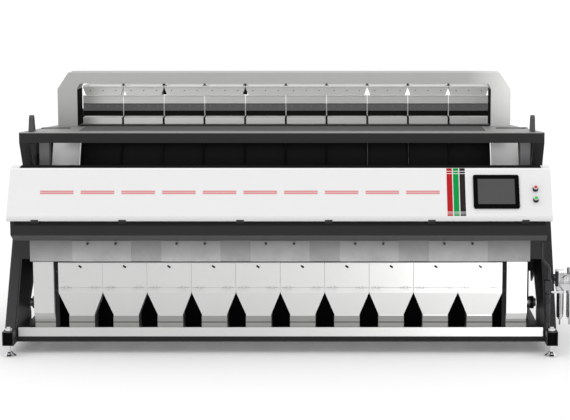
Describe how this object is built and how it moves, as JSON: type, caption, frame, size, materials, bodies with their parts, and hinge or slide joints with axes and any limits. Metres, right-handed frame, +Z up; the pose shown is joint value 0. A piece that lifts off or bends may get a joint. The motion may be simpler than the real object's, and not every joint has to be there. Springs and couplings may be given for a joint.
{
  "type": "optical colour sorter",
  "caption": "Wide free-standing optical grain sorter with feed hoppers, vibrating trays, steep black chutes, a lifting front hood with a screen, and tapered discharge hoppers with flap doors.",
  "frame": {"origin": "on the floor, midway between the four levelling feet", "axes": "+X along the bank of chutes to the right, +Y to the back, +Z up"},
  "size_m": [4.1585, 1.8865, 1.978],
  "materials": {
    "side_stands": "dark grey powder coat",
    "rail_caps": "moulded black",
    "base_frame": "dark grey powder coat",
    "upper_frame": "dark grey powder coat",
    "side_plates": "dark grey powder coat",
    "top_deck": "brushed stainless sheet",
    "lifting_lugs": "dark grey powder coat",
    "gantry": "brushed stainless sheet",
    "front_skirt": "brushed stainless sheet",
    "end_ducts": "brushed stainless sheet",
    "discharge_hoppers": "brushed stainless sheet",
    "reject_hopper": "dark grey powder coat",
    "ejector_band": "textured stainless sheet",
    "access_covers": "textured stainless sheet",
    "cover_knobs": "moulded black",
    "front_box": "dark grey powder coat",
    "rear_box": "dark grey powder coat",
    "window_glasses": "clear float glass",
    "cameras": "black anodised",
    "lamps": "frosted tube",
    "ejector_bar": "machined",
    "air_reservoir": "drawn stainless tube",
    "chutes": "black hard anodised",
    "chute_side_panels": "brushed stainless sheet",
    "feed_hoppers": "brushed stainless sheet",
    "feeder_combs": "black",
    "feeder_trays": "brushed stainless sheet",
    "feeder_drives": "blue grey paint",
    "control_cabinet": "light grey powder coat",
    "cabinet_door": "light grey powder coat",
    "hood": "white gloss powder coat",
    "hood_hinges": "black",
    "hood_latches": "moulded black",
    "screen_bezel": "black",
    "screen": "unlit display glass",
    "button_bezels": "polished",
    "stop_button": "red",
    "start_button": "green",
    "foot_front_left": "plated steel",
    "foot_front_right": "plated steel",
    "foot_rear_left": "plated steel",
    "foot_rear_right": "plated steel",
    "foot_nuts": "plated steel",
    "air_bracket": "dark grey powder coat",
    "air_filter": "die cast, plated bowls",
    "regulator_knob": "moulded black",
    "shutoff_handle": "plated steel",
    "air_hose": "black",
    "wiper_rails": "hard chrome rod",
    "wipers": "moulded black",
    "door_1": "brushed stainless sheet",
    "door_2": "brushed stainless sheet",
    "door_3": "brushed stainless sheet",
    "door_4": "brushed stainless sheet",
    "door_5": "brushed stainless sheet",
    "door_6": "brushed stainless sheet",
    "door_7": "brushed stainless sheet",
    "door_8": "brushed stainless sheet",
    "door_9": "brushed stainless sheet",
    "door_10": "brushed stainless sheet"
  },
  "bodies": {
    "machine": {"side_stands": "side_stands", "rail_caps": "rail_caps", "base_frame": "base_frame", "upper_frame": "upper_frame", "side_plates": "side_plates", "top_deck": "top_deck", "lifting_lugs": "lifting_lugs", "gantry": "gantry", "front_skirt": "front_skirt", "end_ducts": "end_ducts", "discharge_hoppers": "discharge_hoppers", "reject_hopper": "reject_hopper", "ejector_band": "ejector_band", "access_covers": "access_covers", "cover_knobs": "cover_knobs", "front_box": "front_box", "rear_box": "rear_box", "window_glasses": "window_glasses", "cameras": "cameras", "lamps": "lamps", "ejector_bar": "ejector_bar", "air_reservoir": "air_reservoir", "chutes": "chutes", "chute_side_panels": "chute_side_panels", "feed_hoppers": "feed_hoppers", "feeder_combs": "feeder_combs", "feeder_drives": "feeder_drives", "control_cabinet": "control_cabinet", "hood_hinges": "hood_hinges", "foot_nuts": "foot_nuts", "air_bracket": "air_bracket", "air_filter": "air_filter", "air_hose": "air_hose", "wiper_rails": "wiper_rails"},
    "hood": {"hood": "hood", "hood_latches": "hood_latches", "screen_bezel": "screen_bezel", "screen": "screen", "button_bezels": "button_bezels"},
    "stop_button": {"stop_button": "stop_button"},
    "start_button": {"start_button": "start_button"},
    "feeder_trays": {"feeder_trays": "feeder_trays"},
    "wipers": {"wipers": "wipers"},
    "regulator_knob": {"regulator_knob": "regulator_knob"},
    "shutoff_handle": {"shutoff_handle": "shutoff_handle"},
    "cabinet_door": {"cabinet_door": "cabinet_door"},
    "foot_front_left": {"foot_front_left": "foot_front_left"},
    "foot_front_right": {"foot_front_right": "foot_front_right"},
    "foot_rear_left": {"foot_rear_left": "foot_rear_left"},
    "foot_rear_right": {"foot_rear_right": "foot_rear_right"},
    "door_1": {"door_1": "door_1"},
    "door_2": {"door_2": "door_2"},
    "door_3": {"door_3": "door_3"},
    "door_4": {"door_4": "door_4"},
    "door_5": {"door_5": "door_5"},
    "door_6": {"door_6": "door_6"},
    "door_7": {"door_7": "door_7"},
    "door_8": {"door_8": "door_8"},
    "door_9": {"door_9": "door_9"},
    "door_10": {"door_10": "door_10"}
  },
  "joints": [
    {"name": "hood_lift", "type": "hinge", "parent": "machine", "child": "hood", "pos_m": [0, -0.4225, 1.344], "axis": [-1, 0, 0], "range_deg": [0, 70]},
    {"name": "stop_press", "type": "slide", "parent": "hood", "child": "stop_button", "axis": [0, 0.8329, -0.5535], "range_m": [0, 0.004], "stiffness_N_per_m": 500},
    {"name": "start_press", "type": "slide", "parent": "hood", "child": "start_button", "axis": [0, 0.8329, -0.5535], "range_m": [0, 0.004], "stiffness_N_per_m": 500},
    {"name": "tray_shake", "type": "slide", "parent": "machine", "child": "feeder_trays", "axis": [0, -0.9397, 0.342], "range_m": [-0.001, 0.001], "stiffness_N_per_m": 800000},
    {"name": "wiper_travel", "type": "slide", "parent": "machine", "child": "wipers", "axis": [1, 0, 0], "range_m": [0, 3.32]},
    {"name": "regulator_turn", "type": "hinge", "parent": "machine", "child": "regulator_knob", "pos_m": [2.12, -0.3925, 0.57], "axis": [0, 0, 1], "range_deg": [-180, 180]},
    {"name": "shutoff_turn", "type": "hinge", "parent": "machine", "child": "shutoff_handle", "pos_m": [2.016, -0.4385, 0.58], "axis": [0, 0, 1], "range_deg": [0, 90]},
    {"name": "cabinet_door_swing", "type": "hinge", "parent": "machine", "child": "cabinet_door", "pos_m": [-0.458, 0.9615, 1], "axis": [0, 0, 1], "range_deg": [0, 110]},
    {"name": "foot_front_left_level", "type": "slide", "parent": "machine", "child": "foot_front_left", "axis": [0, 0, 1], "range_m": [-0.02, 0]},
    {"name": "foot_rear_left_level", "type": "slide", "parent": "machine", "child": "foot_rear_left", "axis": [0, 0, 1], "range_m": [-0.02, 0]},
    {"name": "foot_front_right_level", "type": "slide", "parent": "machine", "child": "foot_front_right", "axis": [0, 0, 1], "range_m": [-0.02, 0]},
    {"name": "foot_rear_right_level", "type": "slide", "parent": "machine", "child": "foot_rear_right", "axis": [0, 0, 1], "range_m": [-0.02, 0]},
    {"name": "door_1_drop", "type": "hinge", "parent": "machine", "child": "door_1", "pos_m": [-1.44, -0.649, 0.49], "axis": [1, 0, 0], "range_deg": [0, 75]},
    {"name": "door_2_drop", "type": "hinge", "parent": "machine", "child": "door_2", "pos_m": [-1.12, -0.649, 0.49], "axis": [1, 0, 0], "range_deg": [0, 75]},
    {"name": "door_3_drop", "type": "hinge", "parent": "machine", "child": "door_3", "pos_m": [-0.8, -0.649, 0.49], "axis": [1, 0, 0], "range_deg": [0, 75]},
    {"name": "door_4_drop", "type": "hinge", "parent": "machine", "child": "door_4", "pos_m": [-0.48, -0.649, 0.49], "axis": [1, 0, 0], "range_deg": [0, 75]},
    {"name": "door_5_drop", "type": "hinge", "parent": "machine", "child": "door_5", "pos_m": [-0.16, -0.649, 0.49], "axis": [1, 0, 0], "range_deg": [0, 75]},
    {"name": "door_6_drop", "type": "hinge", "parent": "machine", "child": "door_6", "pos_m": [0.16, -0.649, 0.49], "axis": [1, 0, 0], "range_deg": [0, 75]},
    {"name": "door_7_drop", "type": "hinge", "parent": "machine", "child": "door_7", "pos_m": [0.48, -0.649, 0.49], "axis": [1, 0, 0], "range_deg": [0, 75]},
    {"name": "door_8_drop", "type": "hinge", "parent": "machine", "child": "door_8", "pos_m": [0.8, -0.649, 0.49], "axis": [1, 0, 0], "range_deg": [0, 75]},
    {"name": "door_9_drop", "type": "hinge", "parent": "machine", "child": "door_9", "pos_m": [1.12, -0.649, 0.49], "axis": [1, 0, 0], "range_deg": [0, 75]},
    {"name": "door_10_drop", "type": "hinge", "parent": "machine", "child": "door_10", "pos_m": [1.44, -0.649, 0.49], "axis": [1, 0, 0], "range_deg": [0, 75]}
  ]
}
